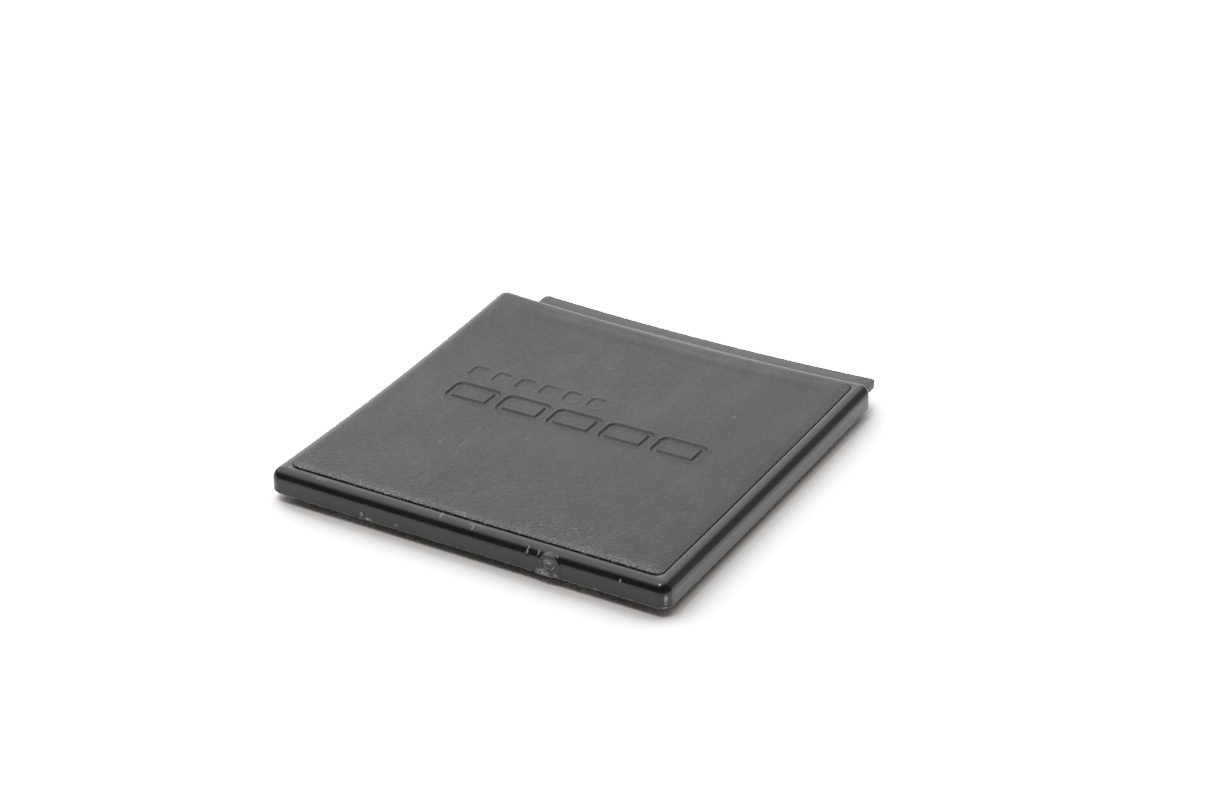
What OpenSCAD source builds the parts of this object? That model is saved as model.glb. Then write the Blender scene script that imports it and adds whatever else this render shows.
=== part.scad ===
// Clip-on protective cover for the film-gate side of a medium-format magazine.
// Origin: centre of the gate frame's lower face, on the plane that the cover rests on.
// +X runs along the front wall, +Y points to the tongue at the back, +Z points to the grained panel.

/* [Cover] */
// Width of the cover across the left and right walls
cover_w = 70; // [68:0.5:80]
// Depth of the cover from the front wall to the back wall, without the tongue
cover_d = 71; // [71:0.5:80]
// Height of the moulding from the skirt's lower edge to the rim's top
cover_h = 4; // [4:0.1:5]
// Height of the skirt's lower edge above the plane that the cover rests on
stand_off = 1.6; // [1.5:0.1:2]
// Thickness of the skirt walls
wall_t = 1.5; // [1.2:0.1:1.6]
// Radius of the four upright outer corners
corner_r = 2; // [1.95:0.05:2.3]
// Radius of the rounded edge between the rim's top and the walls
edge_r = 1.9; // [1.2:0.1:1.9]

/* [Panel] */
// Width of the smooth rim round the grained panel
rim_w = 2.4; // [2.3:0.1:3.5]
// Thickness of the grained panel
panel_t = 0.75; // [0.6:0.05:0.75]
// Height of the panel above the rim's top
panel_proud = 0.25; // [0.25:0.05:0.35]
// Thickness of the adhesive film under the panel
film_t = 0.1; // [0.05:0.05:0.1]
// Gap between the panel's edge and the rim
panel_gap = 0.12; // [0.05:0.01:0.3]
// Radius of the panel's corners
panel_r = 1.8; // [1:0.1:3]
// Depth of the pictogram pressed into the panel
emblem_depth = 0.25; // [0.1:0.05:0.35]

/* [Tongue plate] */
// Thickness of the plate and its tongue
plate_t = 1.4; // [1.1:0.1:1.4]
// Distance that the tongue reaches behind the back wall
tongue_reach = 3.3; // [2:0.1:6]
// Distance from the left wall's outer face to the tongue
tongue_inset_left = 6.8; // [4:0.1:15]
// Distance from the right wall's outer face to the tongue
tongue_inset_right = 1; // [0.8:0.1:6]
// Radius of the tongue's two corners
tongue_r = 0.8; // [0.5:0.1:2]

/* [Gate frame] */
// Outer width and depth of the frame that enters a 56 mm film gate
gate_w = 55; // [54:0.5:55]
// Thickness of the frame's walls
gate_wall = 2; // [1.5:0.1:3]
// Width of the light seal strips
seal_w = 2; // [1.5:0.1:2.2]
// Thickness of the light seal strips
seal_t = 1; // [0.5:0.1:1.2]

/* [Snap claws] */
// Distance of each claw's pivot from the middle of the cover
claw_pivot_x = 29; // [28:0.5:29]
// Length from the pivot to the claw's tip
claw_l = 20; // [18:0.5:20]
// Thickness of the claw's arm
claw_t = 1.4; // [1.2:0.1:1.5]
// Height of the claw
claw_h = 2; // [1.6:0.1:2]
// Distance that the nose stands out from the arm
nose_reach = 1; // [0.6:0.1:1]
// Radius of the pivot pin
pin_r = 0.6; // [0.5:0.05:0.7]
// Radial clearance of the claw on its pin
pin_clearance = 0.05; // [0.03:0.01:0.1]
// Thickness of the bow spring's steel
spring_t = 0.2; // [0.15:0.05:0.3]

/* [Hidden] */
$fn = 64;

plastic_black = [0.06, 0.06, 0.065];
grain_black = [0.13, 0.13, 0.135];
film_grey = [0.55, 0.53, 0.48];
frame_black = [0.09, 0.09, 0.09];
foam_black = [0.03, 0.03, 0.03];
acetal_black = [0.1, 0.1, 0.11];
steel_grey = [0.7, 0.71, 0.73];

// Heights above the resting plane.
rim_top = stand_off + cover_h;
pocket_floor = rim_top + panel_proud - panel_t - film_t;
web_t = 0.6;
plate_top = pocket_floor - web_t;
plate_bottom = plate_top - plate_t;
cut = 0.5;

// Plan sizes of the space inside the skirt.
inside_w = cover_w - 2 * wall_t;
inside_d = cover_d - 2 * wall_t;
inside_r = 0.8;
plate_gap = 0.2;
tongue_gap = 0.2;
tongue_x0 = -cover_w / 2 + tongue_inset_left;
tongue_x1 = cover_w / 2 - tongue_inset_right;
tongue_y0 = inside_d / 2 - plate_gap;
tongue_l = wall_t + plate_gap + tongue_reach;
neck_l = 2;

// Round pad on the front wall where the shell was moulded from, with the stub that broke off there.
// Its upper half stands out of the rounded edge.
gate_pad_x = 15.2;
gate_pad_z = 1.8;
gate_pad_r = 1.95;
gate_pad_proud = 0.1;
gate_stub = [2.6, 0.2, 0.95];
gate_stub_shift = -1.1;

// Heat stakes of the shell that hold the tongue plate.
stake_pitch = 19;
stake_r = 0.8;
stake_gap = 0.05;
stake_head_r = 1.4;
stake_head_t = 0.4;

// Claws lie in the groove in front of the gate frame.
inside_front_y = -inside_d / 2;
claw_y = inside_front_y + 2.45;
claw_top = plate_bottom - 0.3;
claw_bottom = claw_top - claw_h;
claw_eye_r = 1.5;
nose_w = 3;
pin_head_r = 1.1;
pin_head_t = 0.4;
pin_head_gap = 0.1;
stop_w = 2;
stop_l = 0.7;
stop_h = 1.4;
stop_x = claw_pivot_x - 13.5;
spring_x = claw_pivot_x - 9.5;
spring_gap = 0.05;
spring_bow_r = 7.5;
spring_h = 1.4;
rib_w = 0.6;
rib_reach = 0.5;
rib_pitch = 11;

// Pictogram of generic film frames below a short row of counter marks.
frame_count = 5;
frame_w = 8;
frame_h = 5.3;
frame_r = 1.2;
frame_pitch = 9.4;
frame_stroke = 0.8;
frame_row = [-1.25, 1.05];
counter_count = 6;
counter_w = 2.4;
counter_h = 3;
counter_r = 0.6;
counter_pitch = 4.4;
counter_row = [-12.1, 7.9];

// Rectangle centred on the origin with round corners of radius r.
module rounded_rect(w, d, r) {
    square([w - 2 * r, d], center = true);
    square([w, d - 2 * r], center = true);
    for (sx = [-1, 1], sy = [-1, 1])
        translate([sx * (w / 2 - r), sy * (d / 2 - r)])
            circle(r);
}

// Outline with rounded corners and a stroke of even width inside its edge.
module rounded_outline(w, d, r, stroke) {
    difference() {
        rounded_rect(w, d, r);
        rounded_rect(w - 2 * stroke, d - 2 * stroke, r - stroke / 2);
    }
}

// Cross-section of the rounded edge: x runs outwards to the wall, y is the height above the skirt.
module edge_section() {
    square([corner_r, cover_h - edge_r]);
    square([corner_r - edge_r, cover_h]);
    intersection() {
        translate([corner_r - edge_r, cover_h - edge_r])
            circle(edge_r);
        square([corner_r, cover_h]);
    }
}

// Solid block of the cover's outside, with round upright corners and a round top edge.
module cover_block() {
    core_w = cover_w - 2 * corner_r;
    core_d = cover_d - 2 * corner_r;
    translate([-core_w / 2, -core_d / 2, 0])
        cube([core_w, core_d, cover_h]);
    for (turn = [0, 180]) {
        rotate([0, 0, turn])
            translate([core_w / 2, core_d / 2, 0])
                rotate([90, 0, 0])
                    linear_extrude(core_d)
                        edge_section();
        rotate([0, 0, turn + 90])
            translate([core_d / 2, core_w / 2, 0])
                rotate([90, 0, 0])
                    linear_extrude(core_w)
                        edge_section();
        rotate([0, 0, turn])
            translate([core_w / 2, core_d / 2, 0])
                rotate_extrude(angle = 90)
                    edge_section();
        rotate([0, 0, turn + 90])
            translate([core_d / 2, core_w / 2, 0])
                rotate_extrude(angle = 90)
                    edge_section();
    }
}

// Places its children at the eight heat stakes.
module at_stakes() {
    for (i = [-1, 0, 1], j = [-1, 0, 1])
        if (i != 0 || j != 0)
            translate([i * stake_pitch, j * stake_pitch, 0])
                children();
}

// Places its children, drawn for the right claw, on the right or mirrored to the left.
module at_side(side) {
    if (side == "left")
        mirror([1, 0, 0])
            children();
    else
        children();
}

module gate_pad() {
    root = 1.2;
    translate([gate_pad_x, -cover_d / 2, stand_off]) {
        intersection() {
            translate([0, root, gate_pad_z])
                rotate([90, 0, 0])
                    cylinder(r = gate_pad_r, h = root + gate_pad_proud);
            translate([-gate_pad_r - cut, -cut, 0])
                cube([2 * (gate_pad_r + cut), root + 2 * cut, cover_h]);
        }
        translate([gate_stub_shift - gate_stub[0] / 2, -gate_stub[1], 0])
            cube(gate_stub + [0, root, 0]);
    }
}

// Ribs on the front wall that keep one bow spring in place.
module spring_ribs() {
    for (s = [-1, 1])
        translate([spring_x + s * rib_pitch / 2 - rib_w / 2, inside_front_y - cut, stand_off])
            cube([rib_w, rib_reach + cut, plate_bottom - stand_off]);
}

module cover_shell() {
    color(plastic_black) {
        difference() {
            translate([0, 0, stand_off])
                cover_block();
            // Pocket for the panel.
            translate([0, 0, pocket_floor])
                linear_extrude(rim_top - pocket_floor + cut)
                    rounded_rect(cover_w - 2 * rim_w, cover_d - 2 * rim_w, panel_r);
            // Space under the web.
            translate([0, 0, stand_off - cut])
                linear_extrude(plate_top - stand_off + cut)
                    rounded_rect(inside_w, inside_d, inside_r);
            // Notch in the back wall that lets the tongue through.
            translate([tongue_x0 - tongue_gap, tongue_y0 - tongue_gap, stand_off - cut])
                cube([
                    tongue_x1 - tongue_x0 + 2 * tongue_gap,
                    wall_t + plate_gap + tongue_gap + cut,
                    plate_top - stand_off + cut
                ]);
        }
        gate_pad();
        // Heat stakes with their formed heads.
        at_stakes() {
            translate([0, 0, plate_bottom - stake_head_t])
                cylinder(r = stake_head_r, h = stake_head_t);
            translate([0, 0, plate_bottom - stake_head_t])
                cylinder(r = stake_r, h = plate_t + stake_head_t + web_t / 2);
        }
        at_side("left") spring_ribs();
        at_side("right") spring_ribs();
    }
}

module emblem() {
    translate(frame_row)
        for (i = [0 : frame_count - 1])
            translate([(i - (frame_count - 1) / 2) * frame_pitch, 0])
                rounded_outline(frame_w, frame_h, frame_r, frame_stroke);
    translate(counter_row)
        for (i = [0 : counter_count - 1])
            translate([(i - (counter_count - 1) / 2) * counter_pitch, 0])
                rounded_rect(counter_w, counter_h, counter_r);
}

module grain_panel() {
    panel_top = rim_top + panel_proud;
    color(grain_black)
        difference() {
            translate([0, 0, panel_top - panel_t])
                linear_extrude(panel_t)
                    rounded_rect(
                        cover_w - 2 * (rim_w + panel_gap),
                        cover_d - 2 * (rim_w + panel_gap),
                        panel_r - panel_gap
                    );
            translate([0, 0, panel_top - emblem_depth])
                linear_extrude(emblem_depth + cut)
                    emblem();
        }
}

module panel_adhesive() {
    inset = rim_w + 1;
    color(film_grey)
        translate([0, 0, pocket_floor])
            linear_extrude(film_t)
                rounded_rect(cover_w - 2 * inset, cover_d - 2 * inset, 1);
}

// Flat plate under the web, whose back edge is the tongue.
module tongue_plate() {
    color(plastic_black)
        difference() {
            union() {
                translate([0, 0, plate_bottom])
                    linear_extrude(plate_t) {
                        rounded_rect(inside_w - 2 * plate_gap, inside_d - 2 * plate_gap, inside_r);
                        translate([(tongue_x0 + tongue_x1) / 2, tongue_y0 + tongue_l / 2])
                            rounded_rect(tongue_x1 - tongue_x0, tongue_l, tongue_r);
                        translate([tongue_x0 + tongue_r, tongue_y0 - neck_l / 2])
                            square([inside_w / 2 - plate_gap - inside_r - tongue_x0 - tongue_r, neck_l]);
                    }
                // Stops that the claws rest on.
                for (s = [-1, 1])
                    translate([s * stop_x - stop_w / 2, claw_y + claw_t / 2 + 0.05, plate_bottom - stop_h])
                        cube([stop_w, stop_l, stop_h + plate_t / 2]);
            }
            at_stakes()
                translate([0, 0, plate_bottom - cut])
                    cylinder(r = stake_r + stake_gap, h = plate_t + 2 * cut);
            for (s = [-1, 1])
                translate([s * claw_pivot_x, claw_y, plate_bottom - cut])
                    cylinder(r = pin_r, h = plate_t + 2 * cut);
        }
}

// Raised frame that enters the film gate and carries the cover when it is laid down.
module gate_frame() {
    color(frame_black)
        linear_extrude(plate_bottom)
            difference() {
                rounded_rect(gate_w, gate_w, 2);
                rounded_rect(gate_w - 2 * gate_wall, gate_w - 2 * gate_wall, 1);
            }
}

// One foam strip on the plate, along the outside of the gate frame.
module seal_strip(l) {
    color(foam_black)
        translate([-l / 2, gate_w / 2, plate_bottom - seal_t])
            cube([l, seal_w, seal_t]);
}

module light_seal_front() rotate([0, 0, 180]) seal_strip(gate_w + 2 * seal_w);
module light_seal_back() seal_strip(gate_w + 2 * seal_w);
module light_seal_left() rotate([0, 0, 90]) seal_strip(gate_w);
module light_seal_right() rotate([0, 0, -90]) seal_strip(gate_w);

// Right-hand claw: an arm with an eye on the pin and a nose that points to the gate frame.
module snap_claw() {
    color(acetal_black)
        difference() {
            translate([claw_pivot_x, claw_y, claw_bottom])
                linear_extrude(claw_h) {
                    circle(claw_eye_r);
                    translate([-claw_l, -claw_t / 2])
                        square([claw_l, claw_t]);
                    translate([-claw_l, 0])
                        polygon([
                            [0, 0],
                            [nose_w + nose_reach, 0],
                            [nose_w + nose_reach, claw_t / 2],
                            [nose_w, claw_t / 2 + nose_reach],
                            [0, claw_t / 2 + nose_reach]
                        ]);
                }
            translate([claw_pivot_x, claw_y, claw_bottom - cut])
                cylinder(r = pin_r + pin_clearance, h = claw_h + 2 * cut);
        }
}

module claw_pin() {
    head_bottom = claw_bottom - pin_head_gap - pin_head_t;
    color(steel_grey)
        translate([claw_pivot_x, claw_y, head_bottom]) {
            cylinder(r = pin_head_r, h = pin_head_t);
            cylinder(r = pin_r, h = plate_top - head_bottom);
        }
}

// Bow of spring steel between the front wall and the claw's arm.
module claw_spring() {
    crest_y = claw_y - claw_t / 2 - spring_gap;
    color(steel_grey)
        translate([spring_x, crest_y - spring_bow_r, (claw_top + claw_bottom - spring_h) / 2])
            intersection() {
                difference() {
                    cylinder(r = spring_bow_r, h = spring_h);
                    translate([0, 0, -cut])
                        cylinder(r = spring_bow_r - spring_t, h = spring_h + 2 * cut);
                }
                translate([-spring_bow_r, inside_front_y + spring_gap - crest_y + spring_bow_r, 0])
                    cube([2 * spring_bow_r, spring_bow_r, spring_h]);
            }
}

module snap_claw_left() at_side("left") snap_claw();
module snap_claw_right() at_side("right") snap_claw();
module claw_pin_left() at_side("left") claw_pin();
module claw_pin_right() at_side("right") claw_pin();
module claw_spring_left() at_side("left") claw_spring();
module claw_spring_right() at_side("right") claw_spring();

cover_shell();
grain_panel();
panel_adhesive();
tongue_plate();
gate_frame();
light_seal_front();
light_seal_back();
light_seal_left();
light_seal_right();
snap_claw_left();
snap_claw_right();
claw_pin_left();
claw_pin_right();
claw_spring_left();
claw_spring_right();
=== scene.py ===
import math

import bmesh
import bpy
import numpy as np
from mathutils import Matrix, Vector, noise


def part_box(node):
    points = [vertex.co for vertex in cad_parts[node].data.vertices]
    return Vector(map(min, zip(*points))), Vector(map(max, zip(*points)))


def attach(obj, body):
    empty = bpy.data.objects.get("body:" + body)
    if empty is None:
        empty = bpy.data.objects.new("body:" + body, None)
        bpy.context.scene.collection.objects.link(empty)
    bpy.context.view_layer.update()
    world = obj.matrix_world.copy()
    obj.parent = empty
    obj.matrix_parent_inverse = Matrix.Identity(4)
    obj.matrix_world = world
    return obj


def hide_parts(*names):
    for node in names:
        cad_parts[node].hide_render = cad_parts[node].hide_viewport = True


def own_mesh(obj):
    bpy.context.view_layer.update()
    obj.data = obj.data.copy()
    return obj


# A thin square clip-on cover: a glossy moulded shell with a grained panel let into its top and a tongue
# behind its back edge. Underneath are a gate frame, foam seals and two sprung claws.
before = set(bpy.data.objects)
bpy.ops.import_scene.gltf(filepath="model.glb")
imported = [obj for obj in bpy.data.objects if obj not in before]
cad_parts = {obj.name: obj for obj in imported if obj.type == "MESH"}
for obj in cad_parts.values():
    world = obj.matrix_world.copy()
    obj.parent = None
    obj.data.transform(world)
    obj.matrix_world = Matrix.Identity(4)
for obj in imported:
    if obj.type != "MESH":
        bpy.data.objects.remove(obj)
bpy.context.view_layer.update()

# Lengths below are in millimetres, and the meshes are scaled to metres when they are made. Only the floor,
# the lamp and the camera, at the end, are in metres.
MM = 0.001


def box_mm(node):
    """Lowest and highest corner of a CAD node, in millimetres."""
    low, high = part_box(node)
    return np.array(low) / MM, np.array(high) / MM


shell_low, shell_high = box_mm("cover_shell")
panel_low, panel_high = box_mm("grain_panel")
plate_low, plate_high = box_mm("tongue_plate")
film_low = box_mm("panel_adhesive")[0]
seal_high = box_mm("light_seal_back")[1]

# Places that follow from the CAD nodes and the thickness of the tongue plate.
PLATE_T = 1.4
HALF_W = shell_high[0]
HALF_D = shell_high[1]
RIM_TOP = shell_high[2]
SKIRT_Z = shell_low[2]
POCKET_FLOOR = film_low[2]
WEB_BOTTOM = plate_high[2]
PLATE_BOTTOM = WEB_BOTTOM - PLATE_T
PANEL_TOP = panel_high[2]

# Shell: section sizes that the node's box doesn't give.
PANEL_GAP = 0.12
RIM_W = HALF_W - panel_high[0] - PANEL_GAP
WALL_T = 1.5
CORNER_R = 2.0
EDGE_R = 1.9
POCKET_R = 1.4
INSIDE_R = 0.8
SOFT_EDGE = 0.12

# Shell's mesh: the fine step, the stretch of the front side that has it, and the steps of a corner.
FINE_STEP = 0.08
FINE_STRETCH = (10.4, 17.6)
CORNER_COUNT = 12

# Angles between faces from which an edge is shaded as a sharp one, on most pieces and on the panel, and
# from which it is bevelled.
SHARP_DEG = 35
PANEL_SHARP_DEG = 50
BEVEL_DEG = 50

# Notch in the back wall that the tongue passes through: the tongue's sides and the gap round it.
TONGUE_X = (-28.2, 34.0)
TONGUE_GAP = 0.2

# How far a cutter reaches past the wall, and how far solids that are joined reach into each other.
CUT_ROOM = 1.0
OVERLAP = 0.02

# Heat stakes that hold the plate: the pitch of their square, and the sizes of stem and head.
STAKE_PITCH = 19.0
STAKE_R = 0.8
STAKE_ROOT = 0.1
STAKE_HEAD_R = 1.4
STAKE_HEAD_T = 0.4

# Bow springs: their radius, their thickness and the rounding of their edges.
SPRING_R = 7.5
SPRING_T = 0.2
SPRING_EDGE = 0.06

# Ribs on the front wall that keep the bow springs in place: distances from the middle and sizes.
RIB_X = (14.0, 25.0)
RIB_W = 0.6
RIB_REACH = 0.5
RIB_ROOT = 0.3
RIB_EDGE = 0.12

# Round pad on the front wall where the shell was moulded from, and the stub that broke off there.
PAD_X = 15.2
PAD_Z = SKIRT_Z + 1.8
PAD_R = 1.95
PAD_PROUD = 0.1
STUB_X = (12.8, 15.4)
STUB_TOP = SKIRT_Z + 0.95
STUB_PROUD = 0.08

# Small gouges in the rounded edge, left of the gate pad: x, z, half width, half height, depth.
NICKS = (
    (11.3, RIM_TOP - 1.0, 0.22, 0.6, 0.16),
    (13.2, RIM_TOP - 1.0, 0.14, 0.45, 0.14),
)

# How far behind the front face a point still belongs to the outside of the shell.
OUTER_SKIN = 1.2

# Panel: how much it swells into its gap, how wavy its face is, and its rolled edge.
PANEL_SWELL = 0.05
PANEL_WAVE = 0.03
PANEL_EDGE_R = 0.14

# How the panel droops along its right and back edges, and the low fold in front of the back one. The fold
# has its full height up to a share of the half width.
RIGHT_DROOP = 0.12
RIGHT_DROOP_W = 1.4
BACK_DROOP = 0.09
BACK_DROOP_W = 2.2
FOLD_H = 0.09
FOLD_FROM_BACK = 3.0
FOLD_W = 1.1
FOLD_FULL = 0.6

# Panel's mesh: the step of the pressed area, its ends, and the step elsewhere.
PRESSED_STEP = 0.085
PRESSED_X = (-25.0, 22.5)
PRESSED_Y = (-2.2, 10.0)
PANEL_STEP = 0.6

# Pressed pictogram: the depths of its two rows, and a stroke's wall, soft shoulder and low lip.
EMBLEM_DEPTH = 0.2
COUNTER_DEPTH = 0.13
EMBLEM_WALL = 0.18
EMBLEM_STEEP = 0.55
EMBLEM_SHOULDER = 0.32
EMBLEM_LIP = 0.2
EMBLEM_LIP_W = 0.18

# Its row of outlined film frames: middle, count, pitch, half sizes, corner radius and stroke.
FRAME_ROW = (-1.25, 1.05)
FRAME_COUNT = 5
FRAME_PITCH = 9.4
FRAME_HALF = (4.0, 2.65)
FRAME_R = 1.2
FRAME_STROKE = 0.8

# Its short row of counter marks: middle, count, pitch, half sizes and corner radius.
COUNTER_ROW = (-12.1, 7.9)
COUNTER_COUNT = 6
COUNTER_PITCH = 4.4
COUNTER_HALF = (1.2, 1.5)
COUNTER_R = 0.6

# A distance longer than the cover.
FAR = 1000.0

# Half the side of the square, round the gate frame and its seals, in which low parts settle less.
STEADY_HALF = seal_high[1] + 0.1

# How far the middles of the four sides have sagged below the corners, and what the centre keeps of both sags.
SAG_FRONT = 0.11
SAG_BACK = 0.95
SAG_LEFT = 0.87
SAG_RIGHT = 0.31
SAG_SHARED = 0.6


# ---------------------------------------------------------------- shapes


def smoothstep(low, high, x):
    """0 at low and 1 at high, with a smooth step between them."""
    t = np.clip((x - low) / (high - low), 0, 1)
    return t * t * (3 - 2 * t)


def settle(v):
    """Lowers points, in millimetres, by the slight dish that the moulding has taken on with age.
    Below the plate it fades out towards the resting plane, where the gate frame stays flat."""
    u = np.clip(v[:, 0] / HALF_W, -1, 1)
    w = np.clip(v[:, 1] / HALF_D, -1, 1)
    across = (1 - u * u) * (SAG_FRONT * (1 - w) + SAG_BACK * (1 + w)) / 2
    along = (1 - w * w) * (SAG_LEFT * (1 - u) + SAG_RIGHT * (1 + u)) / 2
    both = SAG_SHARED * (1 - u * u) * (1 - w * w)
    steady = (np.abs(v[:, 0]) < STEADY_HALF) & (np.abs(v[:, 1]) < STEADY_HALF)
    share = np.where(steady, np.clip(v[:, 2] / plate_low[2], 0, 1), 1)
    settled = v.copy()
    settled[:, 2] -= share * (across + along - both)
    return settled


def make_mesh(name, vertices, faces, sharp_deg=SHARP_DEG):
    """A smooth-shaded object from vertices in millimetres."""
    mesh = bpy.data.meshes.new(name)
    mesh.from_pydata((vertices * MM).tolist(), [], faces)
    mesh.validate()
    mesh.shade_smooth()
    mesh.set_sharp_from_angle(angle=math.radians(sharp_deg))
    piece = bpy.data.objects.new(name, mesh)
    bpy.context.scene.collection.objects.link(piece)
    return piece


def arc(centre, radius, start_deg, end_deg, count):
    """Points along an arc in a plane."""
    angles = np.radians(np.linspace(start_deg, end_deg, count))
    return [
        (centre[0] + radius * math.cos(a), centre[1] + radius * math.sin(a))
        for a in angles
    ]


def tube_faces(ring_count, count):
    """Faces of a tube of rings with equal numbers of points, closed at both ends."""
    faces = [
        (i * count + j, i * count + (j + 1) % count, (i + 1) * count + (j + 1) % count, (i + 1) * count + j)
        for i in range(ring_count - 1)
        for j in range(count)
    ]
    faces.append(tuple(reversed(range(count))))
    faces.append(tuple(range((ring_count - 1) * count, ring_count * count)))
    return faces


def size_cube(corners, low, high):
    """Moves the corners of a new unit cube to those of a box, in millimetres."""
    for corner in corners:
        corner.co = Vector(((np.array(corner.co) + 0.5) * (high - low) + low) * MM)


def shell_section():
    """Rings of the shell from the web's underside, round the skirt and the rim, to the pocket's floor.
    A ring is (distance inwards from the wall's outer face, corner radius, height)."""
    inner_x = WALL_T - SOFT_EDGE
    low_z = SKIRT_Z + SOFT_EDGE
    top_z = RIM_TOP - EDGE_R
    rings = [(WALL_T, INSIDE_R, WEB_BOTTOM), (WALL_T, INSIDE_R, low_z)]
    for d, z in arc((inner_x, low_z), SOFT_EDGE, 0, -90, 4)[1:]:
        rings.append((d, INSIDE_R + WALL_T - d, z))
    for d, z in arc((SOFT_EDGE, low_z), SOFT_EDGE, -90, -180, 4):
        rings.append((d, CORNER_R - d, z))
    wall_count = int((top_z - low_z) / FINE_STEP)
    for z in np.linspace(low_z, top_z, wall_count)[1:-1]:
        rings.append((0, CORNER_R, z))
    for d, z in arc((EDGE_R, top_z), EDGE_R, 180, 90, 38):
        rings.append((d, CORNER_R - d, z))
    lip = 0.5 * SOFT_EDGE
    for d, z in arc((RIM_W - lip, RIM_TOP - lip), lip, 90, 0, 4):
        rings.append((d, POCKET_R + RIM_W - d, z))
    rings.append((RIM_W, POCKET_R, POCKET_FLOOR))
    return rings


def side_steps(half, fine=None):
    """Places along one side, from -1 to 1, with a fine stretch (low, high) in millimetres."""
    steps = np.linspace(-half, half, int(half * 2) + 1)
    if fine:
        steps = steps[(steps < fine[0]) | (steps > fine[1])]
        extra = np.arange(fine[0], fine[1], FINE_STEP)
        steps = np.sort(np.concatenate([steps, extra]))
    return steps / half


FRONT_STEPS = side_steps(HALF_W - CORNER_R, FINE_STRETCH)
RIGHT_STEPS = side_steps(HALF_D - CORNER_R)
BACK_STEPS = side_steps(HALF_W - CORNER_R)


def ring_points(d, r):
    """Points of one rounded rectangle, anticlockwise from the left end of the front side."""
    x, y = HALF_W - d, HALF_D - d
    cx, cy = x - r, y - r
    turn = np.radians(np.linspace(0, 90, CORNER_COUNT + 1)[1:-1])
    c, s = np.cos(turn) * r, np.sin(turn) * r
    runs = [
        np.c_[FRONT_STEPS * cx, np.full(len(FRONT_STEPS), -y)],
        np.c_[cx + s, -cy - c],
        np.c_[np.full(len(RIGHT_STEPS), x), RIGHT_STEPS * cy],
        np.c_[cx + c, cy + s],
        np.c_[-BACK_STEPS * cx, np.full(len(BACK_STEPS), y)],
        np.c_[-cx - s, cy + c],
        np.c_[np.full(len(RIGHT_STEPS), -x), -RIGHT_STEPS * cy],
        np.c_[-cx - c, -cy - s],
    ]
    return np.vstack(runs)


def raise_gate_pad(v):
    """Lifts the gate pad, with its worn face and broken stub, out of the front wall and rounded edge."""
    x, z = v[:, 0], v[:, 2]
    front = v[:, 1] < -HALF_D + OUTER_SKIN
    near = np.hypot(x - PAD_X, z - PAD_Z)
    inside = smoothstep(PAD_R + 0.04, PAD_R - 0.1, near)
    places = [Vector((a * 1.3, b * 1.3, 3.1)) for a, b in zip(x, z)]
    swirl = np.array([noise.fractal(place, 1, 2, 4) for place in places])
    ring = 0.05 * np.exp(-((near - 0.75) / 0.16) ** 2) * (x > PAD_X - 0.9)
    level = PAD_PROUD - 0.07 * smoothstep(0.2, 1.1, PAD_R - near) + 0.05 * swirl + ring
    stub = smoothstep(STUB_X[0] - 0.08, STUB_X[0] + 0.05, x)
    stub *= smoothstep(STUB_X[1] + 0.08, STUB_X[1] - 0.05, x)
    stub *= smoothstep(STUB_TOP + 0.06, STUB_TOP - 0.06, z + 0.12 * swirl)
    level = level * inside * (1 - stub) + stub * (PAD_PROUD + STUB_PROUD + 0.07 * swirl)
    covered = np.maximum(inside, stub)
    raised = v.copy()
    target = -HALF_D - level
    raised[:, 1] = np.where(front, v[:, 1] + covered * (target - v[:, 1]), v[:, 1])
    return raised


def cut_nicks(v):
    """Presses the small gouges, each with a low burr round it, into the rounded edge."""
    cut = v.copy()
    front = v[:, 1] < -HALF_D + OUTER_SKIN
    for x, z, half_w, half_h, depth in NICKS:
        lean = (v[:, 2] - z) * 0.25
        across = (v[:, 0] - x + lean) / half_w
        along = (v[:, 2] - z) / half_h
        reach = np.hypot(across, along)
        gouge = depth * smoothstep(1.0, 0.2, reach) - 0.4 * depth * np.exp(-((reach - 1.15) / 0.2) ** 2)
        cut[:, 1] += front * gouge * (reach < 2.2)
        cut[:, 2] -= front * gouge * 0.5 * (reach < 2.2)
    return cut


def build_shell():
    """The moulded shell: rim, skirt and pocket, with its gate pad, notch, stakes and ribs."""
    rings = shell_section()
    count = len(ring_points(0, CORNER_R))
    v = np.vstack([np.c_[ring_points(d, r), np.full(count, z)] for d, r, z in rings])
    v = cut_nicks(raise_gate_pad(v))
    shell = make_mesh("shell_moulding", v, tube_faces(len(rings), count))
    cut_box(shell, *notch_box())
    add_stakes_and_ribs(shell)
    settle_piece(shell)
    return shell


def add_stakes_and_ribs(shell):
    """Joins the eight heat stakes with their domed heads, and the spring ribs, to the shell's mesh."""
    bm = bmesh.new()
    bm.from_mesh(shell.data)
    low = PLATE_BOTTOM - STAKE_HEAD_T
    top = PLATE_BOTTOM + OVERLAP
    profile = [
        (0.0, low),
        (0.45, low + 0.01),
        (0.95, low + 0.07),
        (1.25, low + 0.17),
        (STAKE_HEAD_R, low + 0.33),
        (STAKE_HEAD_R, top),
        (STAKE_R, top),
        (STAKE_R, WEB_BOTTOM + STAKE_ROOT),
    ]
    for i in (-1, 0, 1):
        for j in (-1, 0, 1):
            if i or j:
                lathe(bm, (i * STAKE_PITCH, j * STAKE_PITCH), profile)
    for side in (-1, 1):
        for x in RIB_X:
            add_rib(bm, side * x)
    bm.to_mesh(shell.data)
    bm.free()
    shell.data.shade_smooth()
    shell.data.set_sharp_from_angle(angle=math.radians(SHARP_DEG))


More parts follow.
